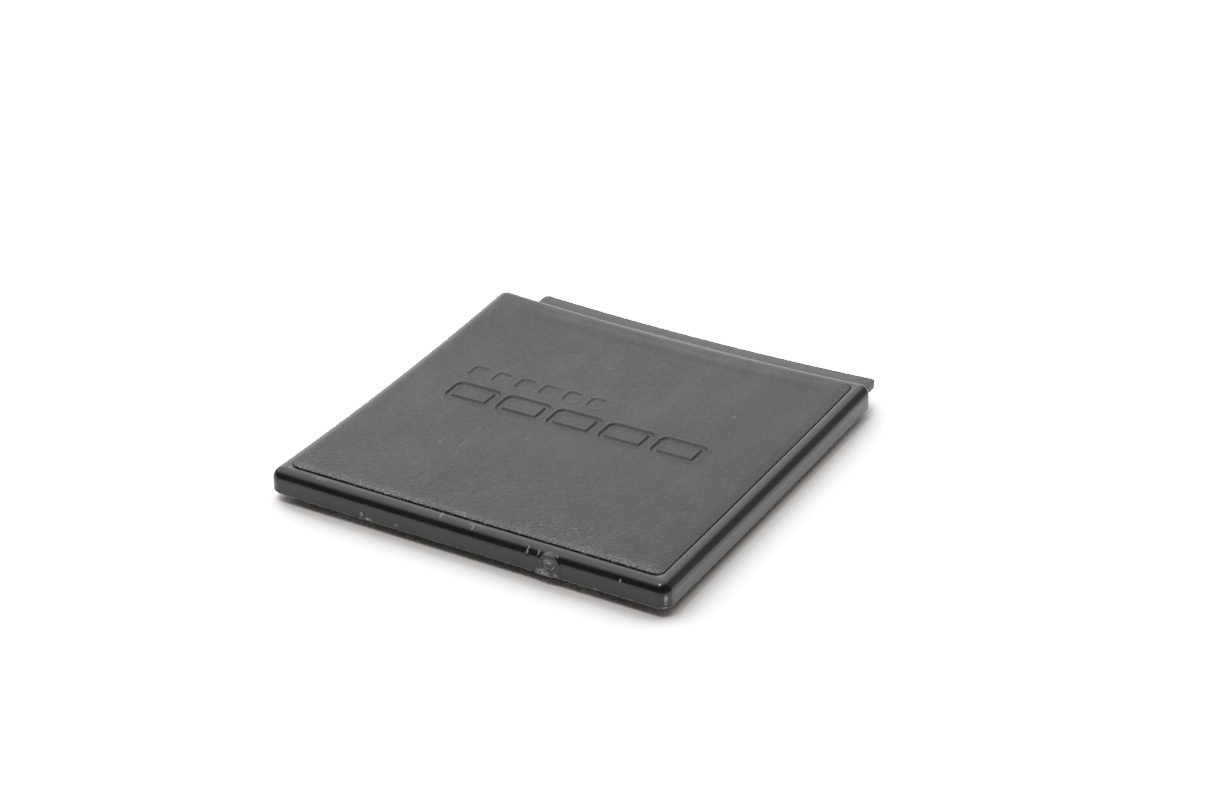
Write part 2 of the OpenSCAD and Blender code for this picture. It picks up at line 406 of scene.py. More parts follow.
def lathe(bm, centre, profile, count=28):
    """Adds a turned solid to a mesh. Its profile runs from the tip on its axis to the rim of its flat end."""
    angles = np.linspace(0, 2 * math.pi, count, endpoint=False)
    rings = []
    for r, z in profile[1:]:
        ring = []
        for a in angles:
            x = centre[0] + r * math.cos(a)
            y = centre[1] + r * math.sin(a)
            ring.append(bm.verts.new((x * MM, y * MM, z * MM)))
        rings.append(ring)
    tip = bm.verts.new((centre[0] * MM, centre[1] * MM, profile[0][1] * MM))
    for k in range(count):
        bm.faces.new((tip, rings[0][(k + 1) % count], rings[0][k]))
    for lower, upper in zip(rings, rings[1:]):
        for k in range(count):
            bm.faces.new((lower[k], lower[(k + 1) % count], upper[(k + 1) % count], upper[k]))
    bm.faces.new(rings[-1])


def add_rib(bm, x):
    """Adds one upright rib, rounded along its height, to the inside of the front wall."""
    made = bmesh.ops.create_cube(bm, size=1)["verts"]
    inside_y = -HALF_D + WALL_T
    low = np.array([x - RIB_W / 2, inside_y - RIB_ROOT, SKIRT_Z])
    high = np.array([x + RIB_W / 2, inside_y + RIB_REACH, PLATE_BOTTOM])
    size_cube(made, low, high)
    edges = dict.fromkeys(e for v in made for e in v.link_edges)
    upright = [e for e in edges if abs((e.verts[0].co - e.verts[1].co).z) > 1e-4]
    bmesh.ops.bevel(bm, geom=upright, offset=RIB_EDGE * MM, segments=2, profile=0.5, affect="EDGES")


def notch_box():
    """Lowest and highest corner of the notch in the back wall."""
    low = (TONGUE_X[0] - TONGUE_GAP, HALF_D - WALL_T - 2 * TONGUE_GAP, SKIRT_Z - CUT_ROOM)
    high = (TONGUE_X[1] + TONGUE_GAP, HALF_D + CUT_ROOM, WEB_BOTTOM + OVERLAP)
    return np.array(low), np.array(high)


def cut_box(piece, low, high):
    """Takes a box away from a piece with an exact boolean, and leaves no modifier on it."""
    bm = bmesh.new()
    bmesh.ops.create_cube(bm, size=1)
    size_cube(bm.verts, low, high)
    cutter_mesh = bpy.data.meshes.new("cutter")
    bm.to_mesh(cutter_mesh)
    bm.free()
    cutter = bpy.data.objects.new("cutter", cutter_mesh)
    bpy.context.scene.collection.objects.link(cutter)
    boolean = piece.modifiers.new("cut", "BOOLEAN")
    boolean.operation = "DIFFERENCE"
    boolean.solver = "EXACT"
    boolean.object = cutter
    depsgraph = bpy.context.evaluated_depsgraph_get()
    result = bpy.data.meshes.new_from_object(piece.evaluated_get(depsgraph))
    piece.modifiers.clear()
    old = piece.data
    result.name = old.name
    piece.data = result
    bpy.data.meshes.remove(old)
    bpy.data.objects.remove(cutter)
    piece.data.shade_smooth()
    piece.data.set_sharp_from_angle(angle=math.radians(SHARP_DEG))


def settle_piece(piece):
    """Settles the mesh of a finished piece."""
    v = np.array([x.co for x in piece.data.vertices]) / MM
    piece.data.vertices.foreach_set("co", (settle(v) * MM).ravel())
    piece.data.update()


def rounded_box_distance(x, y, half, r):
    """Signed distance to a rounded rectangle centred on the origin."""
    qx = np.abs(x) - half[0] + r
    qy = np.abs(y) - half[1] + r
    return np.hypot(np.maximum(qx, 0), np.maximum(qy, 0)) + np.minimum(np.maximum(qx, qy), 0) - r


def row_distance(x, y, middle, count, pitch, half, r):
    """Signed distance to the nearest rounded rectangle of a row."""
    best = np.full(x.shape, FAR)
    for i in range(count):
        cx = middle[0] + (i - (count - 1) / 2) * pitch
        best = np.minimum(best, rounded_box_distance(x - cx, y - middle[1], half, r))
    return best


def emblem_distances(x, y):
    """Signed distances to the pictogram's outlined film frames and to its short row of counter marks."""
    outer = row_distance(x, y, FRAME_ROW, FRAME_COUNT, FRAME_PITCH, FRAME_HALF, FRAME_R)
    frames = np.abs(outer + FRAME_STROKE / 2) - FRAME_STROKE / 2
    counters = row_distance(x, y, COUNTER_ROW, COUNTER_COUNT, COUNTER_PITCH, COUNTER_HALF, COUNTER_R)
    return frames, counters


def pressed_depth(x, y):
    """Depth of the pressed pictogram: a steep wall, a soft shoulder and a low lip round each mark."""
    result = np.zeros(x.shape)
    for depth, distance in zip((EMBLEM_DEPTH, COUNTER_DEPTH), emblem_distances(x, y)):
        steep = EMBLEM_STEEP * smoothstep(EMBLEM_WALL / 2, -EMBLEM_WALL / 2, distance)
        gentle = (1 - EMBLEM_STEEP) * smoothstep(EMBLEM_SHOULDER, -EMBLEM_WALL / 2, distance)
        lip = EMBLEM_LIP * np.exp(-((distance - EMBLEM_SHOULDER) / EMBLEM_LIP_W) ** 2)
        result += depth * (steep + gentle - lip)
    return result


def grid_lines(half, pressed):
    """Places of grid lines from -half to half, close together between the two ends of the pressed area."""
    low = np.linspace(-half, pressed[0], max(2, int((pressed[0] + half) / PANEL_STEP)))
    fine = np.arange(pressed[0], pressed[1], PRESSED_STEP)
    high = np.linspace(pressed[1], half, max(2, int((half - pressed[1]) / PANEL_STEP)))
    return np.concatenate([low[:-1], fine, high])


def round_corners(x, y, half, r):
    """Bends the corner squares of a rectangular grid into quarter discs of radius r."""
    ax, ay = np.abs(x) - (half[0] - r), np.abs(y) - (half[1] - r)
    in_corner = (ax > 0) & (ay > 0)
    largest = np.maximum(ax, ay)
    length = np.maximum(np.hypot(ax, ay), 1e-9)
    scale = np.where(in_corner, largest / length, 1)
    bx = np.where(in_corner, (half[0] - r + ax * scale) * np.sign(x), x)
    by = np.where(in_corner, (half[1] - r + ay * scale) * np.sign(y), y)
    return bx, by


def panel_face(top_half, r):
    """The panel's face up to its rolled edge, as grids of x, y and height."""
    xs = grid_lines(top_half[0], PRESSED_X)
    ys = grid_lines(top_half[1], PRESSED_Y)
    gx, gy = np.meshgrid(xs, ys, indexing="ij")
    px, py = round_corners(gx, gy, top_half, r)
    places = [Vector((x * 0.07, y * 0.07, 1.3)) for x, y in zip(px.ravel(), py.ravel())]
    wave = np.array([noise.noise(place) for place in places]).reshape(px.shape)
    right_edge = smoothstep(top_half[0] - RIGHT_DROOP_W, top_half[0], px)
    back_edge = smoothstep(top_half[1] - BACK_DROOP_W, top_half[1], py)
    fold = FOLD_H * np.exp(-((py - top_half[1] + FOLD_FROM_BACK) / FOLD_W) ** 2)
    fold *= smoothstep(top_half[0], FOLD_FULL * top_half[0], np.abs(px))
    droop = RIGHT_DROOP * right_edge + BACK_DROOP * back_edge - fold
    pz = PANEL_TOP - PANEL_WAVE - pressed_depth(px, py) + PANEL_WAVE * wave - droop
    return px, py, pz


def build_panel():
    """The grained sheet: pressed pictogram, slightly wavy face, rolled edge."""
    half = (panel_high[0] + PANEL_SWELL, panel_high[1] + PANEL_SWELL)
    edge = PANEL_EDGE_R
    r = POCKET_R - PANEL_GAP - edge
    top_half = (half[0] - edge, half[1] - edge)
    px, py, pz = panel_face(top_half, r)
    nx, ny = px.shape
    v = [np.c_[px.ravel(), py.ravel(), pz.ravel()]]
    faces = [
        (i * ny + j, (i + 1) * ny + j, (i + 1) * ny + j + 1, i * ny + j + 1)
        for i in range(nx - 1)
        for j in range(ny - 1)
    ]
    border = [i * ny for i in range(nx)]
    border += [(nx - 1) * ny + j for j in range(1, ny)]
    border += [i * ny + ny - 1 for i in range(nx - 2, -1, -1)]
    border += list(range(ny - 2, 0, -1))
    rim = v[0][border]
    core = np.clip(rim[:, :2], [-top_half[0] + r, -top_half[1] + r], [top_half[0] - r, top_half[1] - r])
    outward = rim[:, :2] - core
    outward /= np.linalg.norm(outward, axis=1)[:, None]
    steps = [(edge * math.sin(a), edge * (1 - math.cos(a))) for a in np.radians(np.linspace(0, 90, 6)[1:])]
    steps.append((edge, PANEL_TOP - panel_low[2]))
    previous = border
    base = len(v[0])
    count = len(border)
    for reach, drop in steps:
        ring = rim.copy()
        ring[:, :2] += outward * reach
        ring[:, 2] -= drop
        if drop > 2 * edge:
            ring[:, 2] = panel_low[2]
        v.append(ring)
        current = list(range(base, base + count))
        faces += [
            (previous[k], current[k], current[(k + 1) % count], previous[(k + 1) % count])
            for k in range(count)
        ]
        previous = current
        base += count
    faces.append(tuple(reversed(previous)))
    return make_mesh("grained_panel", settle(np.vstack(v)), faces, PANEL_SHARP_DEG)


def build_from_node(node, name, bevel, grid, roughen=0.0):
    """A copy of a CAD node's shape with softened edges, cut into a grid so that it can settle."""
    bm = bmesh.new()
    bm.from_mesh(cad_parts[node].data)
    bmesh.ops.remove_doubles(bm, verts=bm.verts, dist=0.001 * MM)
    bmesh.ops.dissolve_limit(bm, angle_limit=math.radians(1), verts=bm.verts, edges=bm.edges)
    sharp = [e for e in bm.edges if e.is_manifold and e.calc_face_angle() > math.radians(BEVEL_DEG)]
    bmesh.ops.bevel(
        bm, geom=sharp, offset=bevel * MM, segments=3, profile=0.5, affect="EDGES", clamp_overlap=True
    )
    low, high = box_mm(node)
    for axis in (0, 1):
        for place in np.arange(low[axis] + grid / 2, high[axis], grid):
            normal = Vector((0, 0, 0))
            normal[axis] = 1
            geometry = list(bm.verts) + list(bm.edges) + list(bm.faces)
            bmesh.ops.bisect_plane(
                bm, geom=geometry, dist=1e-7, plane_co=normal * place * MM, plane_no=normal
            )
    for v in bm.verts:
        v.co += v.normal * noise.noise(v.co / MM * 1.1) * roughen * MM
    mesh = bpy.data.meshes.new(name)
    bm.to_mesh(mesh)
    bm.free()
    mesh.shade_smooth()
    mesh.set_sharp_from_angle(angle=math.radians(SHARP_DEG))
    piece = bpy.data.objects.new(name, mesh)
    bpy.context.scene.collection.objects.link(piece)
    settle_piece(piece)
    return piece


def build_spring(node, name):
    """A bow of spring steel with rounded edges, in the place and size of its CAD node."""
    low, high = box_mm(node)
    centre_x = (low[0] + high[0]) / 2
    centre_y = high[1] - SPRING_R
    middle_z = (low[2] + high[2]) / 2
    reach = math.degrees(math.acos((low[1] - centre_y) / (SPRING_R - SPRING_T)))
    half = (SPRING_T / 2 - SPRING_EDGE, (high[2] - low[2]) / 2 - SPRING_EDGE)
    section = []
    for quarter, (side, up) in enumerate(((1, 1), (-1, 1), (-1, -1), (1, -1))):
        section += arc((side * half[0], up * half[1]), SPRING_EDGE, 90 * quarter, 90 * quarter + 90, 4)
    turns = np.linspace(-reach, reach, 49)
    v = [
        (
            centre_x + (SPRING_R - SPRING_T / 2 + out) * math.sin(math.radians(turn)),
            centre_y + (SPRING_R - SPRING_T / 2 + out) * math.cos(math.radians(turn)),
            middle_z + up,
        )
        for turn in turns
        for out, up in section
    ]
    return make_mesh(name, np.array(v), tube_faces(len(turns), len(section)))


def soften(node, width):
    """Rounds the sharp edges of a CAD node with a modifier, which leaves its mesh alone."""
    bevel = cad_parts[node].modifiers.new("soft_edges", "BEVEL")
    bevel.width = width * MM
    bevel.segments = 3
    bevel.limit_method = "ANGLE"
    bevel.angle_limit = math.radians(BEVEL_DEG)
    bevel.harden_normals = True


# ---------------------------------------------------------------- materials


class Nodes:
    """A material's node tree, with short calls for the nodes that the materials use."""

    def __init__(self, name):
        self.material = bpy.data.materials.new(name)
        self.material.use_nodes = True
        self.tree = self.material.node_tree
        self.tree.nodes.clear()
        self.shader = self.tree.nodes.new("ShaderNodeBsdfPrincipled")
        output = self.tree.nodes.new("ShaderNodeOutputMaterial")
        self.link(self.shader.outputs["BSDF"], output.inputs["Surface"])
        coordinate = self.tree.nodes.new("ShaderNodeTexCoord")
        scale = self.tree.nodes.new("ShaderNodeVectorMath")
        scale.operation = "SCALE"
        scale.inputs["Scale"].default_value = 1 / MM
        self.link(coordinate.outputs["Object"], scale.inputs[0])
        self.place = scale.outputs["Vector"]

    def link(self, source, target):
        self.tree.links.new(source, target)

    def put(self, value, target):
        """Links a socket, or sets a constant."""
        if isinstance(value, bpy.types.NodeSocket):
            self.link(value, target)
        else:
            target.default_value = value

    def put_colour(self, value, target):
        """Links a socket, or sets a triple as an opaque colour."""
        self.put(value if isinstance(value, bpy.types.NodeSocket) else (*value, 1), target)

    def math(self, operation, a, b=0.0, clamp=False):
        node = self.tree.nodes.new("ShaderNodeMath")
        node.operation = operation
        node.use_clamp = clamp
        self.put(a, node.inputs[0])
        self.put(b, node.inputs[1])
        return node.outputs[0]

    def noise(self, scale, detail=2.0, roughness=0.5, stretch=None):
        node = self.tree.nodes.new("ShaderNodeTexNoise")
        node.inputs["Scale"].default_value = scale
        node.inputs["Detail"].default_value = detail
        node.inputs["Roughness"].default_value = roughness
        self.link(self.stretched(stretch), node.inputs["Vector"])
        return node.outputs["Fac"]

    def stretched(self, stretch):
        if stretch is None:
            return self.place
        node = self.tree.nodes.new("ShaderNodeVectorMath")
        node.operation = "MULTIPLY"
        self.link(self.place, node.inputs[0])
        node.inputs[1].default_value = stretch
        return node.outputs["Vector"]

    def cells(self, scale, feature="F1"):
        node = self.tree.nodes.new("ShaderNodeTexVoronoi")
        node.feature = feature
        node.inputs["Scale"].default_value = scale
        self.link(self.place, node.inputs["Vector"])
        return node.outputs["Distance"]

    def ramp(self, value, low, high, out_low=0.0, out_high=1.0):
        node = self.tree.nodes.new("ShaderNodeMapRange")
        node.interpolation_type = "SMOOTHSTEP"
        self.put(value, node.inputs["Value"])
        node.inputs["From Min"].default_value = low
        node.inputs["From Max"].default_value = high
        node.inputs["To Min"].default_value = out_low
        node.inputs["To Max"].default_value = out_high
        return node.outputs["Result"]

    def mix(self, factor, a, b):
        """Mixes two colours, each a socket or a triple."""
        node = self.tree.nodes.new("ShaderNodeMix")
        node.data_type = "RGBA"
        self.put(factor, node.inputs["Factor"])
        self.put_colour(a, node.inputs["A"])
        self.put_colour(b, node.inputs["B"])
        return node.outputs["Result"]

    def axis(self, name):
        node = self.tree.nodes.new("ShaderNodeSeparateXYZ")
        self.link(self.place, node.inputs[0])
        return node.outputs[name]

    def spot(self, centre, radii):
        """1 at a centre, falling to 0 at the given radii along x, y and z."""
        shift = self.tree.nodes.new("ShaderNodeVectorMath")
        shift.operation = "SUBTRACT"
        self.link(self.place, shift.inputs[0])
        shift.inputs[1].default_value = centre
        shrink = self.tree.nodes.new("ShaderNodeVectorMath")
        shrink.operation = "DIVIDE"
        self.link(shift.outputs["Vector"], shrink.inputs[0])
        shrink.inputs[1].default_value = radii
        length = self.tree.nodes.new("ShaderNodeVectorMath")
        length.operation = "LENGTH"
        self.link(shrink.outputs["Vector"], length.inputs[0])
        return self.ramp(length.outputs["Value"], 1.0, 0.3)

    def bump(self, height, distance, below=None):
        """A normal bent by a height, with its distance in millimetres, on top of the normal below."""
        node = self.tree.nodes.new("ShaderNodeBump")
        node.inputs["Strength"].default_value = 1.0
        node.inputs["Distance"].default_value = distance * MM
        self.link(height, node.inputs["Height"])
        if below is not None:
            self.link(below, node.inputs["Normal"])
        return node.outputs["Normal"]

    def finish(self, colour, roughness, normal=None, specular=0.5):
        self.put_colour(colour, self.shader.inputs["Base Color"])
        self.put(roughness, self.shader.inputs["Roughness"])
        self.shader.inputs["Specular IOR Level"].default_value = specular
        if normal is not None:
            self.link(normal, self.shader.inputs["Normal"])
        return self.material


# White scuffs on the shell: centre and radii.
SCUFFS = (
    ((11.3, -HALF_D + 0.4, RIM_TOP - 1.0), (0.3, 0.9, 0.75)),
    ((13.2, -HALF_D + 0.4, RIM_TOP - 0.95), (0.2, 0.9, 0.6)),
    ((14.2, -HALF_D, SKIRT_Z + 0.45), (1.6, 0.6, 0.75)),
    ((16.3, -HALF_D, SKIRT_Z + 0.35), (0.5, 0.6, 0.5)),
    ((15.0, -HALF_D, PAD_Z + 0.6), (0.9, 0.6, 0.5)),
    ((34.5, -HALF_D + 0.5, SKIRT_Z + 1.5), (0.4, 0.7, 1.2)),
    ((34.4, -HALF_D + 0.5, SKIRT_Z + 0.05), (0.7, 0.9, 0.35)),
    ((-17.9, -HALF_D, SKIRT_Z + 0.75), (0.35, 0.4, 0.55)),
    ((-16.6, -HALF_D, SKIRT_Z + 0.25), (0.8, 0.4, 0.3)),
    ((-11.6, -HALF_D, SKIRT_Z + 0.75), (0.35, 0.4, 0.3)),
    ((-4.4, -HALF_D + 1.6, RIM_TOP), (0.22, 1.2, 0.9)),
    ((1.4, -HALF_D + 1.2, RIM_TOP - 0.2), (0.16, 1.0, 0.9)),
    ((27.1, -HALF_D + 0.1, RIM_TOP - 1.2), (0.2, 0.4, 0.4)),
)

# Dull tan smears on the rim's top: centre and radii.
SMEARS = (
    ((1.5, -HALF_D + 1.5, RIM_TOP), (2.6, 0.5, 0.6)),
    ((-26.2, -HALF_D + 1.5, RIM_TOP), (2.2, 0.5, 0.6)),
)


def total(nodes, sockets):
    """The sum of several sockets, kept within 0 and 1."""
    result = sockets[0]
    for socket in sockets[1:]:
        result = nodes.math("ADD", result, socket, clamp=True)
    return result


def height_before_settling(n):
    """The height that a point had before the moulding settled."""
    x = n.math("MULTIPLY", n.axis("X"), 1 / HALF_W)
    y = n.math("MULTIPLY", n.axis("Y"), 1 / HALF_D)
    bow_x = n.math("SUBTRACT", 1.0, n.math("MULTIPLY", x, x))
    bow_y = n.math("SUBTRACT", 1.0, n.math("MULTIPLY", y, y))
    across = n.math("MULTIPLY", y, (SAG_BACK - SAG_FRONT) / 2)
    across = n.math("ADD", across, (SAG_BACK + SAG_FRONT) / 2)
    along = n.math("MULTIPLY", x, (SAG_RIGHT - SAG_LEFT) / 2)
    along = n.math("ADD", along, (SAG_RIGHT + SAG_LEFT) / 2)
    both = n.math("MULTIPLY", n.math("MULTIPLY", bow_x, bow_y), -SAG_SHARED)
    drop = n.math("ADD", n.math("MULTIPLY", bow_x, across), n.math("MULTIPLY", bow_y, along))
    return n.math("ADD", n.axis("Z"), n.math("ADD", drop, both))


def pad_rings(n):
    """Thin broken arcs on the gate pad's face."""
    dx = n.math("SUBTRACT", n.axis("X"), PAD_X)
    dz = n.math("SUBTRACT", n.axis("Z"), PAD_Z + 0.25)
    reach = n.math("SQRT", n.math("ADD", n.math("MULTIPLY", dx, dx), n.math("MULTIPLY", dz, dz)))
    wobble = n.math("MULTIPLY", n.math("SUBTRACT", n.noise(0.9, 2, 0.5), 0.5), 0.9)
    waves = n.math("SINE", n.math("MULTIPLY", n.math("ADD", reach, wobble), 9.0))
    face = n.spot((PAD_X, -HALF_D, PAD_Z + 0.2), (1.9, 0.7, 1.9))
    return n.math("MULTIPLY", n.ramp(waves, 0.75, 1.0), face)


def shell_material():
    """Glossy black plastic, worn along its lower edge, with a thin light line there that is partly wear and
    partly painted highlight, scuffs, smears and a little dust.
    """
    n = Nodes("shell_plastic")
    fine = n.noise(2.2, 4, 0.6)
    broad = n.noise(0.12, 3, 0.55)
    height = height_before_settling(n)
    speckle = n.noise(2.4, 5, 0.75)
    beyond_x = n.math("SUBTRACT", n.math("ABSOLUTE", n.axis("X")), HALF_W)
    beyond_y = n.math("SUBTRACT", n.math("ABSOLUTE", n.axis("Y")), HALF_D)
    outside = n.ramp(n.math("MAXIMUM", beyond_x, beyond_y), -0.34, -0.22)
    edge = n.math("MULTIPLY", outside, n.ramp(height, SKIRT_Z + 0.2, SKIRT_Z + 0.04))
    flakes = n.ramp(n.noise(0.9, 5, 0.8), 0.55, 0.66)
    chipped = n.math("MULTIPLY", n.ramp(height, SKIRT_Z + 0.34, SKIRT_Z + 0.05), flakes)
    chipped = n.math("MULTIPLY", chipped, outside)
    # A thin light line along the whole lower edge: partly wear, partly a painted highlight of the rounded
    # edge.
    edge_highlight_and_wear_line = n.math("MULTIPLY", edge, n.ramp(n.noise(0.35, 3, 0.6), 0.36, 0.6, 0.12, 0.5))
    edge_wear_and_highlight = n.math("MAXIMUM", edge_highlight_and_wear_line, n.math("MULTIPLY", chipped, 0.8))
    spots = total(n, [n.spot(centre, radii) for centre, radii in SCUFFS])
    broken = n.ramp(n.noise(3.6, 5, 0.75), 0.42, 0.56)
    scuff = n.math("MULTIPLY", spots, broken, clamp=True)
    rings = n.math("MULTIPLY", pad_rings(n), n.ramp(speckle, 0.4, 0.55, 0.1, 0.6))
    wear_and_edge_highlight = n.math("MAXIMUM", n.math("MAXIMUM", scuff, rings), edge_wear_and_highlight)
    smear = total(n, [n.spot(centre, radii) for centre, radii in SMEARS])
    smear = n.math("MULTIPLY", smear, n.ramp(n.noise(1.2, 4, 0.6), 0.35, 0.7))
    dust = n.ramp(n.noise(1.7, 6, 0.8), 0.7, 0.76)
    colour = n.mix(n.ramp(broad, 0.3, 0.7), (0.006, 0.006, 0.007), (0.01, 0.01, 0.011))
    colour = n.mix(n.math("MULTIPLY", smear, 0.7), colour, (0.16, 0.13, 0.10))
    colour = n.mix(n.math("MULTIPLY", dust, 0.25), colour, (0.3, 0.3, 0.3))
    # Light wear and scuffs, together with the painted highlight along the lower edge.
    colour = n.mix(n.math("MULTIPLY", wear_and_edge_highlight, 0.85), colour, (0.42, 0.41, 0.39))
    rough = n.ramp(fine, 0.3, 0.75, 0.2, 0.28)
    rough = n.math("ADD", rough, n.ramp(n.noise(1.1, 6, 0.7, (0.25, 1.0, 1.6)), 0.55, 0.75, 0.0, 0.08))
    rough = n.math("ADD", rough, n.math("MULTIPLY", wear_and_edge_highlight, 0.35), clamp=True)
    normal = n.bump(n.noise(0.9, 2, 0.5), 0.0015)
    normal = n.bump(n.math("MULTIPLY", wear_and_edge_highlight, speckle), 0.05, normal)
    return n.finish(colour, rough, normal)


# Marks on the panel: lines of a long curved scratch, and single nicks, by centre and radii.
SCRATCHES = (
    ((-13.2, -9.0, PANEL_TOP), (0.14, 2.2, 2.0)),
    ((-12.9, -13.5, PANEL_TOP), (0.16, 2.8, 2.0)),
    ((-12.2, -17.5, PANEL_TOP), (0.15, 2.2, 2.0)),
    ((-16.4, -15.0, PANEL_TOP), (0.35, 0.5, 2.0)),
    ((-5.0, -7.7, PANEL_TOP), (0.3, 0.5, 2.0)),
    ((-5.1, 23.0, PANEL_TOP), (0.2, 2.4, 2.0)),
    ((-4.9, 19.5, PANEL_TOP), (0.5, 0.8, 2.0)),
    ((14.1, 11.2, PANEL_TOP), (0.7, 0.3, 2.0)),
    ((20.3, 14.5, PANEL_TOP), (0.5, 0.6, 2.0)),
    ((14.4, 8.3, PANEL_TOP), (0.3, 0.7, 2.0)),
)
DUST_PATCH = ((13.0, -29.5, PANEL_TOP), (11.0, 7.0, 4.0))


def panel_material():
    """Satin pebble grain, deeper towards the front, with a worn front edge, scratches and dust. Painted shade
    darkens it towards the right and in the hollows between the pebbles.
    """
    n = Nodes("panel_grain")
    pebbles = n.cells(2.9, "SMOOTH_F1")
    wrinkles = n.noise(1.5, 4, 0.65)
    broad = n.noise(0.07, 4, 0.6)
    smudge = n.noise(0.16, 4, 0.65, (1.0, 0.5, 1.0))
    height = n.math("ADD", n.math("MULTIPLY", pebbles, -1.0), n.math("MULTIPLY", wrinkles, 0.5))
    relief = n.ramp(n.axis("Y"), -HALF_D, 0.0, 1.9, 0.2)
    normal = n.bump(n.math("MULTIPLY", height, relief), 0.035)
    worn = n.ramp(n.axis("Y"), -HALF_D + RIM_W + 2.8, -HALF_D + RIM_W - 0.4)
    worn = n.math("MULTIPLY", worn, n.ramp(n.noise(0.2, 3, 0.6), 0.35, 0.55, 0.5, 1.0))
    specks = n.math("MULTIPLY", worn, n.ramp(n.noise(4.4, 5, 0.75), 0.5, 0.64))
    chips = n.math("MULTIPLY", worn, n.ramp(n.noise(2.4, 2, 0.5), 0.6, 0.68))
    marks = total(n, [n.spot(centre, radii) for centre, radii in SCRATCHES])
    marks = n.math("MULTIPLY", marks, n.ramp(n.noise(2.0, 4, 0.7), 0.38, 0.6))
    dusty = n.math("MULTIPLY", n.spot(*DUST_PATCH), n.ramp(n.noise(2.4, 4, 0.7), 0.58, 0.7))
    grit = n.ramp(n.noise(2.1, 6, 0.85), 0.735, 0.8)
    colour = n.mix(n.ramp(broad, 0.3, 0.7), (0.01, 0.01, 0.0105), (0.019, 0.019, 0.02))
    # Painted shade: darker towards the right, away from the light at the left.
    colour = n.mix(n.ramp(n.axis("X"), -10.0, HALF_W, 0.0, 0.5), colour, (0.005, 0.005, 0.005))
    colour = n.mix(n.ramp(smudge, 0.45, 0.7, 0.0, 0.3), colour, (0.04, 0.04, 0.04))
    # Painted shade in the hollows between the pebbles.
    colour = n.mix(n.ramp(pebbles, 0.15, 0.6, 0.0, 0.22), colour, (0.008, 0.008, 0.009))
    white = n.math("MAXIMUM", n.math("MULTIPLY", specks, 0.7), n.math("MULTIPLY", marks, 0.25))
    white = n.math("MAXIMUM", white, n.math("MULTIPLY", chips, 0.75))
    white = n.math("MAXIMUM", white, n.math("MULTIPLY", dusty, 0.45))
    white = n.math("MAXIMUM", white, n.math("MULTIPLY", grit, 0.5))
    colour = n.mix(white, colour, (0.35, 0.35, 0.35))
    rough = n.ramp(wrinkles, 0.3, 0.7, 0.45, 0.53)
    rough = n.math("ADD", rough, n.ramp(smudge, 0.3, 0.7, -0.03, 0.04))
    return n.finish(colour, rough, normal, 0.46)


def moulded_material(name, colour, rough_low, rough_high):
    """Matt or satin plastic with slightly uneven colour and gloss."""
    n = Nodes(name)
    fine = n.noise(3.0, 4, 0.6)
    shade = n.mix(n.ramp(n.noise(0.3, 3, 0.6), 0.3, 0.7), colour, tuple(1.5 * c for c in colour))
    rough = n.ramp(fine, 0.3, 0.7, rough_low, rough_high)
    return n.finish(shade, rough, n.bump(n.noise(6.0, 3, 0.6), 0.006))


def foam_material():
    """Black open-cell foam, with painted shade in its pores."""
    n = Nodes("seal_foam")
    holes = n.cells(4.5)
    # Painted shade: darker in the middle of each cell, where the pores are deep.
    shade = n.mix(n.ramp(holes, 0.1, 0.5), (0.012, 0.012, 0.012), (0.03, 0.03, 0.03))
    return n.finish(shade, 0.95, n.bump(holes, 0.12), 0.2)


def steel_material():
    """Bright steel with fine brushed lines."""
    n = Nodes("pin_steel")
    brushed = n.noise(4.0, 3, 0.6, (0.3, 0.3, 9.0))
    shade = n.mix(n.ramp(brushed, 0.3, 0.7), (0.48, 0.49, 0.51), (0.62, 0.63, 0.65))
    n.shader.inputs["Metallic"].default_value = 1.0
    return n.finish(shade, n.ramp(brushed, 0.3, 0.7, 0.22, 0.4), n.bump(brushed, 0.003))


def film_material():
    """Yellowish adhesive film."""
    n = Nodes("adhesive_film")
    return n.finish(n.mix(n.noise(0.8, 3, 0.6), (0.5, 0.47, 0.42), (0.6, 0.58, 0.52)), 0.5)


def paint(target, material):
    """Makes a material the only one of a piece."""
    target.data.materials.clear()
    target.data.materials.append(material)


def paint_node(node, material):
    """Sets a CAD node's material through its object's slots."""
    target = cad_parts[node]
    for place in target.material_slots:
        place.link = "OBJECT"
        place.material = material


# ---------------------------------------------------------------- pieces


def add_piece(piece, material, node):
    """Paints a piece, and lets it ride on the cover in the place of its CAD node."""
    paint(piece, material)
    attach(piece, "cover")
    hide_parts(node)


add_piece(build_shell(), shell_material(), "cover_shell")
add_piece(build_panel(), panel_material(), "grain_panel")
plate_black = moulded_material("plate_plastic", (0.009, 0.009, 0.0095), 0.38, 0.48)
plate = build_from_node("tongue_plate", "tongue_moulding", 0.15, 4.0)
add_piece(plate, plate_black, "tongue_plate")
film = build_from_node("panel_adhesive", "adhesive_sheet", 0.02, 4.0)
add_piece(film, film_material(), "panel_adhesive")
frame_black = moulded_material("frame_plastic", (0.022, 0.022, 0.022), 0.5, 0.62)
gate_frame = build_from_node("gate_frame", "gate_frame_moulding", 0.2, 4.0)
add_piece(gate_frame, frame_black, "gate_frame")
foam = foam_material()
for side in ("front", "back", "left", "right"):
    strip = build_from_node("light_seal_" + side, "foam_strip_" + side, 0.2, 0.5, roughen=0.06)
    add_piece(strip, foam, "light_seal_" + side)
acetal = moulded_material("claw_acetal", (0.028, 0.028, 0.03), 0.34, 0.44)
steel = steel_material()
